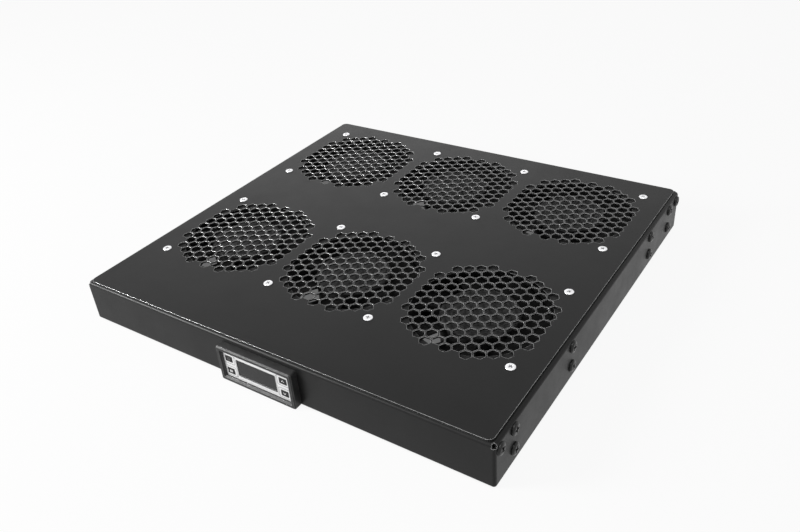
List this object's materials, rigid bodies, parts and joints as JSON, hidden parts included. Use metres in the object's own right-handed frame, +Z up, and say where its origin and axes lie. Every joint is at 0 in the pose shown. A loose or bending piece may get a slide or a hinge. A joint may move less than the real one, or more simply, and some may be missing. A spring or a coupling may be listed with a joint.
{
  "type": "rack fan tray",
  "caption": "Shallow black steel tray with axial fans in two rows under a flat honeycomb cover, a panel thermostat with push keys in its front wall and a power inlet at the back.",
  "frame": {"origin": "middle of the flat underside of the tray", "axes": "+Z up through the cover, -Y out of the front wall with the thermostat, +X to the right seen from the front"},
  "size_m": [0.4104, 0.397, 0.0419],
  "materials": {
    "powder_coat": "satin black powder coat",
    "zinc_screw": "bright zinc",
    "black_screw": "black oxide",
    "plain_steel": "plain steel",
    "fan_casting": "black painted casting",
    "stator": "varnished laminations and windings",
    "impeller": "black moulding",
    "black_moulding": "black ABS",
    "silver_inlay": "silver-grey printed face",
    "dark_window": "smoked window",
    "key_black": "matt key",
    "terminal_moulding": "black moulding",
    "board": "green circuit board",
    "block_moulding": "natural nylon",
    "nickel": "nickel plate"
  },
  "bodies": {
    "unit": {"chassis": "powder_coat", "top_cover": "powder_coat", "fan_screws": "zinc_screw", "side_screws_left": "black_screw", "side_screws_right": "black_screw", "inlet_nuts": "plain_steel", "fan_frame_1": "fan_casting", "fan_stator_1": "stator", "fan_frame_2": "fan_casting", "fan_stator_2": "stator", "fan_frame_3": "fan_casting", "fan_stator_3": "stator", "fan_frame_4": "fan_casting", "fan_stator_4": "stator", "fan_frame_5": "fan_casting", "fan_stator_5": "stator", "fan_frame_6": "fan_casting", "fan_stator_6": "stator", "controller_bezel": "black_moulding", "controller_case": "black_moulding", "controller_clips": "black_moulding", "power_inlet": "black_moulding", "controller_inlay": "silver_inlay", "controller_window": "dark_window", "display_module": "dark_window", "key_switches": "terminal_moulding", "controller_terminals": "terminal_moulding", "controller_board": "board", "terminal_block": "block_moulding", "inlet_pins": "nickel", "block_screws": "nickel", "inlet_screws": "zinc_screw"},
    "rotor_1": {"fan_impeller_1": "impeller"},
    "rotor_2": {"fan_impeller_2": "impeller"},
    "rotor_3": {"fan_impeller_3": "impeller"},
    "rotor_4": {"fan_impeller_4": "impeller"},
    "rotor_5": {"fan_impeller_5": "impeller"},
    "rotor_6": {"fan_impeller_6": "impeller"},
    "key_power": {"button_power": "key_black"},
    "key_set": {"button_set": "key_black"},
    "key_up": {"button_up": "key_black"},
    "key_down": {"button_down": "key_black"}
  },
  "joints": [
    {"name": "fan_1_spin", "type": "hinge", "parent": "unit", "child": "rotor_1", "pos_m": [-0.125, -0.067, 0.02], "axis": [0, 0, 1], "continuous": true},
    {"name": "fan_2_spin", "type": "hinge", "parent": "unit", "child": "rotor_2", "pos_m": [0, -0.067, 0.02], "axis": [0, 0, 1], "continuous": true},
    {"name": "fan_3_spin", "type": "hinge", "parent": "unit", "child": "rotor_3", "pos_m": [0.125, -0.067, 0.02], "axis": [0, 0, 1], "continuous": true},
    {"name": "fan_4_spin", "type": "hinge", "parent": "unit", "child": "rotor_4", "pos_m": [-0.125, 0.111, 0.02], "axis": [0, 0, 1], "continuous": true},
    {"name": "fan_5_spin", "type": "hinge", "parent": "unit", "child": "rotor_5", "pos_m": [0, 0.111, 0.02], "axis": [0, 0, 1], "continuous": true},
    {"name": "fan_6_spin", "type": "hinge", "parent": "unit", "child": "rotor_6", "pos_m": [0.125, 0.111, 0.02], "axis": [0, 0, 1], "continuous": true},
    {"name": "power_press", "type": "slide", "parent": "unit", "child": "key_power", "axis": [0, 1, 0], "range_m": [0, 0.0005], "stiffness_N_per_m": 600, "springref_m": -0.0004},
    {"name": "set_press", "type": "slide", "parent": "unit", "child": "key_set", "axis": [0, 1, 0], "range_m": [0, 0.0005], "stiffness_N_per_m": 600, "springref_m": -0.0004},
    {"name": "up_press", "type": "slide", "parent": "unit", "child": "key_up", "axis": [0, 1, 0], "range_m": [0, 0.0005], "stiffness_N_per_m": 600, "springref_m": -0.0004},
    {"name": "down_press", "type": "slide", "parent": "unit", "child": "key_down", "axis": [0, 1, 0], "range_m": [0, 0.0005], "stiffness_N_per_m": 600, "springref_m": -0.0004}
  ]
}
